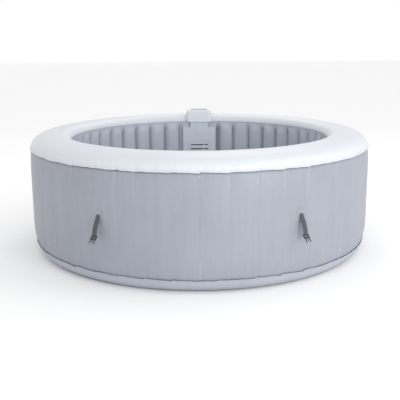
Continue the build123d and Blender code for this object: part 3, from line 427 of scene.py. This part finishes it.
def shapeOuterWall(x, y, r, z):
    angle = atan2(y, x)
    top = exp(-(ring["seamTop"] - z) / outer["fade"])
    low = exp(-(z - ring["seamLow"]) / outer["fade"])
    topOut, topUp = seamOffset(x, y, seams["topSeed"])
    lowOut, lowUp = seamOffset(x, y, seams["lowSeed"])
    out = topOut * top + lowOut * low
    up = topUp * top ** 1.5 + lowUp * low ** 1.5
    topFold = abs(wave(angle + 0.004 * sin(z * 60), *seams["topFolds"]))
    lowFold = abs(wave(angle, *seams["lowFolds"]))
    out -= outer["pucker"] * (top * (1 - top) * 1.6) * topFold
    out -= outer["pucker"] * (low * (1 - low) * 1.6) * lowFold
    place = beamPlace(x, y)
    if place:
        lobe, across = place
        depth = outer["drawn"] * (0.75 + 0.5 * draw(lobe, 2))
        out -= depth * abs(2 * across - 1) ** 2.2
        gap = min(across, 1 - across) * radians(beams["step"]) * r
        out -= outer["weld"] * exp(-(gap / outer["weldWidth"]) ** 2)
    out += outer["uneven"] * noise.noise(Vector((x * 5, y * 5, z * 4)))
    # tucked in under the lips of both seams
    out -= outer["tuck"] * exp(-((ring["seamTop"] - z) / outer["tuckHeight"]) ** 2)
    out -= outer["lowTuck"] * exp(-((z - ring["seamLow"]) / outer["tuckHeight"]) ** 2)
    return out, up


outerSheet = spinOutline(wallOutline(), ring["steps"])
shapeRing(outerSheet, shapeOuterWall)
faceAwayFrom(outerSheet, ring["core"], ring["height"] / 2)
coverLow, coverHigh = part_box("rear_cover")
cutWindow(outerSheet,
          (coverLow[0] - outer["coverGap"], outer["windowDepth"][0], coverLow[2] - outer["coverGap"]),
          (coverHigh[0] + outer["coverGap"], outer["windowDepth"][1], coverHigh[2] + outer["coverGap"]))
outerWall = makePiece("outerWall", outerSheet, finishes["wall"], ["outer_wall"])
addModifier(outerWall, "SOLIDIFY", thickness=ring["sheet"], offset=-1)
print("outer wall made")

# Rim, one smooth roll from the inner seam over the crest, gathered at the outer seam with a welded lip
rim = {"lip": 8 * mm, "lipThick": 3.2 * mm, "gather": 3.5 * mm, "fade": 26 * mm,
       "rollRows": 10, "crownRows": 24, "rise": 2 * mm, "foldPlace": 16 * mm, "foldWidth": 15 * mm,
       "uneven": 1.2 * mm}


def rimOutline():
    points = []
    for i in range(rim["rollRows"] + 1):
        t = radians(180 - 90 * i / rim["rollRows"])
        points.append((ring["crestRadius"] + ring["rollWidth"] * cos(t),
                       ring["innerSeam"] + (ring["height"] - ring["innerSeam"]) * sin(t)))
    reach = ring["topRadius"] - ring["crestRadius"]
    fall = ring["height"] - ring["seamTop"]
    power = 2 / ring["rollPower"]
    for i in range(1, rim["crownRows"] + 1):
        t = radians(90 * (i / rim["crownRows"]) ** 0.85)
        points.append((ring["crestRadius"] + reach * sin(t) ** power,
                       ring["seamTop"] + fall * max(cos(t), 0) ** power))
    points[-1] = (ring["topRadius"], ring["seamTop"] + rim["rise"])
    foot = ring["seamTop"] - 1.5 * mm
    points += [(ring["topRadius"] + rim["lip"] * 0.6, foot + 2.6 * mm), (ring["topRadius"] + rim["lip"], foot),
               (ring["topRadius"] + rim["lip"] * 0.9, foot - rim["lipThick"]),
               (ring["topRadius"] + rim["lip"] * 0.1, foot - rim["lipThick"] + 1 * mm)]
    return points


def shapeRim(x, y, r, z):
    angle = atan2(y, x)
    reach = hypot(max(ring["topRadius"] - r, 0), max(z - ring["seamTop"] - rim["rise"], 0))
    near = exp(-reach / rim["fade"])
    seamOut, seamUp = seamOffset(x, y, seams["topSeed"])
    out = seamOut * near
    up = seamUp * near
    if r > ring["crestRadius"]:
        folds = abs(wave(angle, *seams["topFolds"]))
        folds *= exp(-((reach - rim["foldPlace"]) / rim["foldWidth"]) ** 2)
        out -= rim["gather"] * folds * 0.7
        up -= rim["gather"] * folds
    high = smooth(z, ring["innerSeam"], ring["height"])
    up += rim["uneven"] * noise.noise(Vector((x * 4, y * 4, 2.5))) * high
    return out, up


rimSheet = spinOutline(rimOutline(), ring["steps"])
shapeRing(rimSheet, shapeRim)
faceAwayFrom(rimSheet, ring["core"], ring["seamTop"])
topRim = makePiece("topRim", rimSheet, finishes["rim"], ["top_rim"])
addModifier(topRim, "SOLIDIFY", thickness=ring["sheet"], offset=-1)
print("rim made")

# Inner wall, drawn into upright lobes by the beams
lobes = {"crease": 19 * mm, "crown": 9 * mm, "fold": 7 * mm, "foldWidth": 6 * mm, "pucker": 3 * mm,
         "puckers": 40, "uneven": 0.7 * mm, "topFade": (598 * mm, 642 * mm), "lowFade": (14 * mm, 60 * mm),
         "unevenFade": (14 * mm, 40 * mm), "bayEdge": 119 * mm, "bayFade": 6 * mm, "recessRight": 30 * mm,
         "recessLeft": 14 * mm, "foot": 3 * mm, "rows": 50, "steps": 1032,
         "windowHalf": 108 * mm, "windowHeight": (136 * mm, 594 * mm), "windowDepth": (0.7, 0.85)}


def shapeInnerWall(x, y, r, z):
    angle = atan2(y, x)
    low, high = lobes["topFade"]
    full = smooth(z, *lobes["lowFade"]) * (1 - smooth(z, low, high))
    place = beamPlace(x, y)
    out = lobes["uneven"] * noise.noise(Vector((x * 9, y * 9, z * 5))) * smooth(z, *lobes["unevenFade"])
    if place is None:
        side = abs(x) - lobes["bayEdge"]
        recess = lobes["recessRight"] if x > 0 else lobes["recessLeft"]
        return (recess * smooth(side, 0, lobes["bayFade"]) * full if side > 0 else 0), 0
    lobe, across = place
    across += 0.03 * noise.noise(Vector((lobe * 3.1, z * 6, 1.5))) * sin(pi * across)
    size = 0.8 + 0.4 * draw(lobe, 5)
    middle = abs(2 * across - 1)
    out += full * size * (lobes["crease"] * middle ** 2.6 - lobes["crown"] * (1 - middle ** 2))
    gap = min(across, 1 - across) * radians(beams["step"]) * r
    out += full * lobes["fold"] * exp(-(gap / lobes["foldWidth"]) ** 2)
    edge = smooth(z, low - 20 * mm, low + 25 * mm) * (1 - smooth(z, high - 25 * mm, high))
    out += lobes["pucker"] * edge * wave(angle, lobes["puckers"], 21)
    return out, 0


innerRise = ring["innerSeam"] - lobes["foot"]
innerSheet = spinOutline([(ring["waterRadius"], lobes["foot"] + innerRise * i / lobes["rows"])
                          for i in range(lobes["rows"] + 1)], lobes["steps"])
shapeRing(innerSheet, shapeInnerWall)
faceAwayFrom(innerSheet, ring["core"], ring["height"] / 2)
cutWindow(innerSheet, (-lobes["windowHalf"], lobes["windowDepth"][0], lobes["windowHeight"][0]),
          (lobes["windowHalf"], lobes["windowDepth"][1], lobes["windowHeight"][1]))
innerWall = makePiece("innerWall", innerSheet, finishes["inner"], ["inner_wall"])
print("inner wall made")

# Base band, curling up from the ground to the puckered lower seam
band = {"lip": 6.5 * mm, "lipThick": 2.4 * mm, "fade": 26 * mm, "pucker": 3.5 * mm, "rows": 22,
        "uneven": 1.5 * mm, "swells": 9, "lift": (2 * mm, 30 * mm)}


def bandOutline():
    inset = ring["lowRadius"] - ring["groundRadius"]
    arc = (inset ** 2 + ring["seamLow"] ** 2) / (2 * ring["seamLow"])
    last = atan2(inset, arc - ring["seamLow"])
    points = [(ring["groundRadius"] + arc * sin(last * i / band["rows"]),
               arc - arc * cos(last * i / band["rows"])) for i in range(band["rows"] + 1)]
    top = ring["seamLow"]
    points[-1] = (ring["lowRadius"] - 0.5 * mm, top - 3 * mm)
    points += [(ring["lowRadius"] + band["lip"] * 0.8, top - 2.4 * mm), (ring["lowRadius"] + band["lip"], top),
               (ring["lowRadius"] + band["lip"] * 0.8, top + band["lipThick"]),
               (ring["lowRadius"], top + band["lipThick"] + 0.6 * mm)]
    return points


def shapeBand(x, y, r, z):
    angle = atan2(y, x)
    near = exp(-max(ring["seamLow"] - z, 0) / band["fade"])
    seamOut, seamUp = seamOffset(x, y, seams["lowSeed"])
    lifted = smooth(z, *band["lift"])
    fold = abs(wave(angle, *seams["lowFolds"]))
    out = seamOut * near - band["pucker"] * fold * near * (1 - near) * 3 * lifted
    out += band["uneven"] * wave(angle, band["swells"], 61) * lifted
    return out, seamUp * near * lifted


bandSheet = spinOutline(bandOutline(), ring["steps"])
shapeRing(bandSheet, shapeBand)
faceAwayFrom(bandSheet, ring["core"], ring["seamLow"])
baseBand = makePiece("baseBand", bandSheet, finishes["base"], ["base_band"])
addModifier(baseBand, "SOLIDIFY", thickness=ring["sheet"], offset=-1)
print("base band made")

# Floor: quilted pad under a soft liner, and the rounded channel with its bubble nozzles
floor = {"rings": 30, "steps": 240, "quilt": 1.6 * mm, "dimple": 0.5 * mm, "flatEdge": 40 * mm,
         "linerDrop": 0.2 * mm, "padRoundLow": 2 * mm, "padRoundHigh": 3 * mm, "padDrop": 1 * mm}
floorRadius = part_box("floor_liner")[1][0]
linerSheet = spinOutline([(floorRadius * i / floor["rings"], ring["floorTop"] - floor["linerDrop"])
                          for i in range(floor["rings"] + 1)], floor["steps"])
for vert in linerSheet.verts:
    r = hypot(vert.co.x, vert.co.y)
    if r < floorRadius - floor["flatEdge"]:
        vert.co.z += floor["quilt"] * noise.noise(vert.co * 7) + floor["dimple"] * noise.noise(vert.co * 21)
floorLiner = makePiece("floorLiner", linerSheet, finishes["inner"], ["floor_liner"])
addModifier(floorLiner, "SOLIDIFY", thickness=ring["sheet"], offset=-1)

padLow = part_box("floor_pad")[0][2]
padRadius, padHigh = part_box("floor_pad")[1][0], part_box("floor_pad")[1][2]
padSheet = spinOutline([(0, padLow), (padRadius - floor["padRoundLow"], padLow),
                        (padRadius, padLow + floor["padRoundLow"]),
                        (padRadius, padHigh - floor["padRoundHigh"]),
                        (padRadius - floor["padRoundHigh"], padHigh - floor["padDrop"]),
                        (0, padHigh - floor["padDrop"])], floor["steps"])
floorPad = makePiece("floorPad", padSheet, finishes["foam"], ["floor_pad"])

# each nozzle has a flange, a sloping throat and a hole, as (width, depth) from the rim inwards
channel = {"width": 39.5 * mm, "rows": 18, "steps": 360, "nozzles": 60, "nozzleRadius": 5 * mm,
           "nozzleSides": 12, "sink": 0.4 * mm,
           "nozzleRings": ((1.2 * mm, 1.2 * mm), (2.2 * mm, -0.3 * mm), (0.1 * mm, -1.5 * mm))}
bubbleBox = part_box("bubble_ring")
channelMid = bubbleBox[1][0] - channel["width"] / 2
channelRise = bubbleBox[1][2] - bubbleBox[0][2]
arch = [(channelMid + channel["width"] / 2 * cos(pi * i / channel["rows"]),
         bubbleBox[0][2] + channelRise * abs(sin(pi * i / channel["rows"])) ** 0.5)
        for i in range(channel["rows"] + 1)]
channelSheet = spinOutline(arch, channel["steps"])
faceAwayFrom(channelSheet, channelMid, 0.0)
makePiece("bubbleRing", channelSheet, finishes["inner"], ["bubble_ring"])
nozzles = bmesh.new()
for index in range(channel["nozzles"]):
    turn = 2 * pi * index / channel["nozzles"]
    spot = Matrix.Translation((channelMid * cos(turn), channelMid * sin(turn),
                               bubbleBox[1][2] - channel["sink"]))
    made = bmesh.ops.create_circle(nozzles, cap_ends=True, segments=channel["nozzleSides"],
                                   radius=channel["nozzleRadius"], matrix=spot)
    face = made["verts"][0].link_faces[0]
    for inset, depth in channel["nozzleRings"]:
        bmesh.ops.inset_individual(nozzles, faces=[face], thickness=inset, depth=depth)
makePiece("bubbleNozzles", nozzles, finishes["trim"])
print("floor made")

# Lid straps: pinched at the patch, widening, standing off the wall, with the prong half of the buckle
strap = {"angles": (30, 150, 210, 330), "width": 28 * mm, "pinch": 21 * mm, "length": 110 * mm,
         "height": 385 * mm, "reach": 1023.0 * mm, "tilt": 20, "buckleTilt": 45, "thick": 1.8 * mm,
         "bow": 3.5 * mm, "sway": 25 * mm, "wrinkle": 0.6 * mm, "edgeRound": 0.4 * mm}


def stationMatrix(turn, radius, height, tilt=0.0):
    # local x round the wall, local y up, local z outwards; a tilt swings the foot of y off the wall
    a, t = radians(turn), radians(tilt)
    x = Vector((cos(a), sin(a), 0))
    z = Vector((sin(a) * cos(t), -cos(a) * cos(t), sin(t)))
    y = z.cross(x)
    place = Vector((radius * sin(a), -radius * cos(a), height))
    return Matrix.Translation(place) @ Matrix((x, y, z)).transposed().to_4x4()


def addBlock(bm, size, centre, bevel, taper=None):
    made = bmesh.ops.create_cube(bm, size=1)
    verts = made["verts"]
    bmesh.ops.scale(bm, vec=size, verts=verts)
    if taper:
        for vert in verts:
            if vert.co.y < 0:
                vert.co.x *= taper[0]
                vert.co.z *= taper[1]
    bmesh.ops.translate(bm, vec=centre, verts=verts)
    edges = list({e for v in verts for e in v.link_edges})
    bmesh.ops.bevel(bm, geom=edges, offset=bevel, affect="EDGES", segments=3, profile=0.5, material=-1)


def makeWebbing(index):
    turn = strap["angles"][index]
    bm = bmesh.new()
    bm.loops.layers.uv.new("strapUV")
    bmesh.ops.create_grid(bm, x_segments=10, y_segments=30, size=0.5, calc_uvs=True)
    for vert in bm.verts:
        across, down = vert.co.x, 0.5 - vert.co.y
        wide = strap["pinch"] + (strap["width"] - strap["pinch"]) * smooth(down, 0.0, 0.42)
        bow = (1 - (2 * across) ** 2) * strap["bow"] * (1 - smooth(down, 0.0, 0.55))
        sway = 0.16 * sin(pi * down) - 0.06 * sin(2 * pi * down)
        wrinkle = strap["wrinkle"] * noise.noise(Vector((across * 2, down * 5, index)))
        vert.co = Vector((across * wide, -down * strap["length"], bow + sway * strap["sway"] + wrinkle))
    place = stationMatrix(turn, strap["reach"], strap["height"], strap["tilt"])
    bmesh.ops.transform(bm, matrix=place, verts=bm.verts)
    piece = makePiece(f"strapWebbing{index + 1}", bm, finishes["webbing"],
                      [f"strap_webbing_{index + 1}"], f"strap_{index + 1}")
    addModifier(piece, "SOLIDIFY", thickness=strap["thick"], offset=0)
    addModifier(piece, "BEVEL", width=strap["edgeRound"], segments=2, limit_method="ANGLE")


# blocks of the buckle as size, centre, rounding and taper of the far end, in mm
buckle = [
    ((33, 4, 7), (0, 2.4, 0), 1.2, None),  # ladder bars round the webbing
    ((33, 3.4, 5), (0, -3.6, 1), 1, None),
    ((3.6, 16, 7.4), (-14.7, -2, 0), 1, None),  # side rails
    ((3.6, 16, 7.4), (14.7, -2, 0), 1, None),
    ((33, 10, 8), (0, -14, 0), 1.8, None),  # body
    ((19, 6, 1.2), (0, -14, 4.1), 0.4, None),
    ((4.2, 24, 5), (-11.6, -29, 0), 1, (0.8, 0.8)),  # prongs with their hooks
    ((5.6, 8, 6.4), (-12.6, -36, 0), 1.2, (0.45, 0.6)),
    ((4.2, 24, 5), (11.6, -29, 0), 1, (0.8, 0.8)),
    ((5.6, 8, 6.4), (12.6, -36, 0), 1.2, (0.45, 0.6)),
    ((5, 19, 3), (0, -27, 0), 0.8, (0.6, 0.7)),  # middle guide
]


def makeBuckle(index):
    turn = strap["angles"][index]
    tilt = radians(strap["tilt"])
    radius = strap["reach"] + strap["length"] * sin(tilt)
    height = strap["height"] - strap["length"] * cos(tilt)
    bm = bmesh.new()
    for size, centre, bevel, taper in buckle:
        addBlock(bm, [value * mm for value in size], [value * mm for value in centre], bevel * mm, taper)
    place = stationMatrix(turn, radius, height, strap["buckleTilt"])
    bmesh.ops.transform(bm, matrix=place, verts=bm.verts)
    makePiece(f"strapBuckle{index + 1}", bm, finishes["buckle"],
              [f"strap_buckle_{index + 1}"], f"strap_{index + 1}", flat=True)


for index in range(len(strap["angles"])):
    makeWebbing(index)
    makeBuckle(index)

# each patch is a disc with a raised edge, as (width, depth) from the rim inwards
patch = {"radius": 27 * mm, "sides": 48, "lift": 0.4 * mm, "raise": 2 * mm,
         "rings": ((1 * mm, 1 * mm), (5 * mm, 0), (0.6 * mm, -0.4 * mm))}
patches = bmesh.new()
for turn in strap["angles"]:
    spot = stationMatrix(turn, ring["wallRadius"] + patch["lift"], strap["height"] + patch["raise"])
    made = bmesh.ops.create_circle(patches, cap_ends=True, segments=patch["sides"], radius=patch["radius"],
                                   matrix=spot)
    face = made["verts"][0].link_faces[0]
    for inset, depth in patch["rings"]:
        bmesh.ops.inset_individual(patches, faces=[face], thickness=inset, depth=depth)
makePiece("strapPatches", patches, finishes["wall"], ["strap_patches"], flat=True)
print("straps made")

# Floor, light and camera
stage = {"size": 30, "grey": 0.93, "roughness": 0.9, "sky": 1.0}
stagePlane = bmesh.new()
bmesh.ops.create_grid(stagePlane, x_segments=1, y_segments=1, size=stage["size"])
stageMesh = bpy.data.meshes.new("studioFloor")
stagePlane.to_mesh(stageMesh)
stagePlane.free()
studioFloor = bpy.data.objects.new("studioFloor", stageMesh)
bpy.context.scene.collection.objects.link(studioFloor)
paleFloor = newMaterial("paleFloor", [stage["grey"]] * 3, stage["roughness"])[0]
stageMesh.materials.append(paleFloor)

world = bpy.data.worlds.new("studioWorld")
bpy.context.scene.world = world
world.use_nodes = True
world.node_tree.nodes["Background"].inputs["Color"].default_value = (1, 1, 1, 1)
world.node_tree.nodes["Background"].inputs["Strength"].default_value = stage["sky"]


def addLight(name, place, target, size, power):
    lamp = bpy.data.lights.new(name, "AREA")
    lamp.energy = power
    lamp.size = size
    holder = bpy.data.objects.new(name, lamp)
    holder.location = place
    holder.rotation_euler = (Vector(target) - Vector(place)).to_track_quat("-Z", "Y").to_euler()
    bpy.context.scene.collection.objects.link(holder)


addLight("rightSoftbox", (3.6, -1.4, 2.8), (0, 0, 0.4), 1.4, 18)
addLight("frontSoftbox", (0.3, -4.6, 3.0), (0, 0, 0.3), 0.7, 16)
addLight("sideFill", (3.0, -4.6, 1.35), (0, 0, 0.4), 1.4, 80)
addLight("backSoftbox", (0.5, 3.2, 3.2), (0, 0.6, 0.6), 1.6, 18)

camera = {"distance": 4.293, "height": 1.262, "pitch": 0.2315, "roll": 0.0073, "lens": 63.0, "sensor": 36.0,
          "shift": 0.00075}
lens = bpy.data.cameras.new("productCamera")
lens.sensor_width = camera["sensor"]
lens.lens = camera["lens"]
lens.shift_x = camera["shift"]
lens.clip_end = 100
productCamera = bpy.data.objects.new("productCamera", lens)
productCamera.location = (0, -camera["distance"], camera["height"])
aim = Matrix.Rotation(pi / 2 - camera["pitch"], 4, "X") @ Matrix.Rotation(-camera["roll"], 4, "Z")
productCamera.rotation_euler = aim.to_euler()
bpy.context.scene.collection.objects.link(productCamera)
bpy.context.scene.camera = productCamera
bpy.context.scene.view_settings.view_transform = "Standard"
print("stage set")
